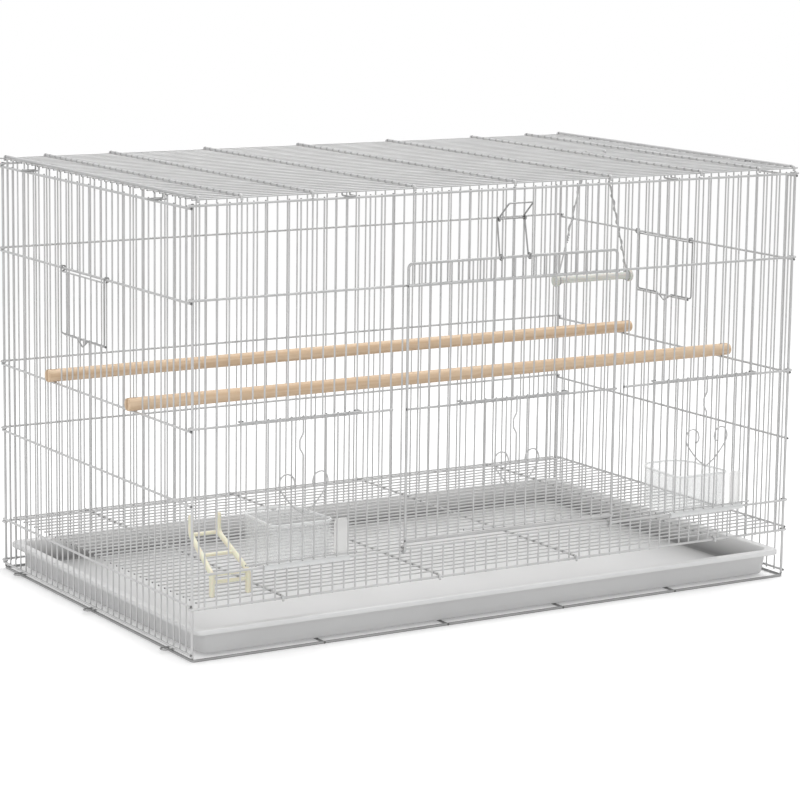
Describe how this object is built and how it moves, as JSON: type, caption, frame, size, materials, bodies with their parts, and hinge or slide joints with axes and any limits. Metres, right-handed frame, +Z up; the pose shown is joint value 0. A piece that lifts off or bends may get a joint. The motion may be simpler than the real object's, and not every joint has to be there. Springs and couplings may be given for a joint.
{
  "type": "flight bird cage",
  "caption": "Wide welded-wire flight cage with a drop-down main door, lift-up feeder doors, nest flaps, a slide-out tray, cups, perches, a swing and a ladder.",
  "frame": {"origin": "on the floor under the middle of the whole outline", "axes": "+X along the cage's width to the right seen from the front, -Y out of the front, +Z up"},
  "size_m": [0.7888, 0.4972, 0.4761],
  "materials": {
    "wire": "satin powder coat",
    "clip": "satin",
    "tray": "matte",
    "cup": "translucent",
    "beech": "raw, sanded",
    "swing_bar": "matte",
    "ladder": "smooth"
  },
  "bodies": {
    "cage": {"front_panel": "wire", "back_panel": "wire", "left_panel": "wire", "right_panel": "wire", "top_panel": "wire", "bottom_frame": "wire", "floor_grille": "wire", "left_seed_cup": "cup", "right_seed_cup": "cup", "front_perch": "beech", "rear_perch": "beech", "ladder": "ladder", "top_clips": "clip", "bottom_clips": "clip"},
    "tray": {"slide_tray": "tray"},
    "main_door": {"main_door": "wire"},
    "latch": {"door_latch": "wire"},
    "left_feeder": {"left_feeder_door": "wire"},
    "centre_feeder": {"centre_feeder_door": "wire"},
    "right_feeder": {"right_feeder_door": "wire"},
    "left_nest": {"left_nest_door": "wire"},
    "right_nest": {"right_nest_door": "wire"},
    "swing": {"swing_hanger": "wire", "swing_bar": "swing_bar"}
  },
  "joints": [
    {"name": "main_door_hinge", "type": "hinge", "parent": "cage", "child": "main_door", "pos_m": [0, -0.22712, 0.0905], "axis": [1, 0, 0], "range_deg": [0, 90]},
    {"name": "latch_hinge", "type": "hinge", "parent": "main_door", "child": "latch", "pos_m": [0, -0.23037, 0.3945], "axis": [1, 0, 0], "range_deg": [0, 45]},
    {"name": "left_feeder_slide", "type": "slide", "parent": "cage", "child": "left_feeder", "axis": [0, 0, 1], "range_m": [0, 0.12]},
    {"name": "centre_feeder_slide", "type": "slide", "parent": "main_door", "child": "centre_feeder", "axis": [0, 0, 1], "range_m": [0, 0.12]},
    {"name": "right_feeder_slide", "type": "slide", "parent": "cage", "child": "right_feeder", "axis": [0, 0, 1], "range_m": [0, 0.12]},
    {"name": "left_nest_hinge", "type": "hinge", "parent": "cage", "child": "left_nest", "pos_m": [-0.3844, 0.01978, 0.36845], "axis": [0, 1, 0], "range_deg": [0, 110]},
    {"name": "right_nest_hinge", "type": "hinge", "parent": "cage", "child": "right_nest", "pos_m": [0.3844, 0.01978, 0.36845], "axis": [0, -1, 0], "range_deg": [0, 110]},
    {"name": "tray_slide", "type": "slide", "parent": "cage", "child": "tray", "axis": [0, -1, 0], "range_m": [0, 0.4]},
    {"name": "swing_hinge", "type": "hinge", "parent": "cage", "child": "swing", "pos_m": [0.2754, 0.01278, 0.4725], "axis": [1, 0, 0], "range_deg": [-35, 35]}
  ]
}
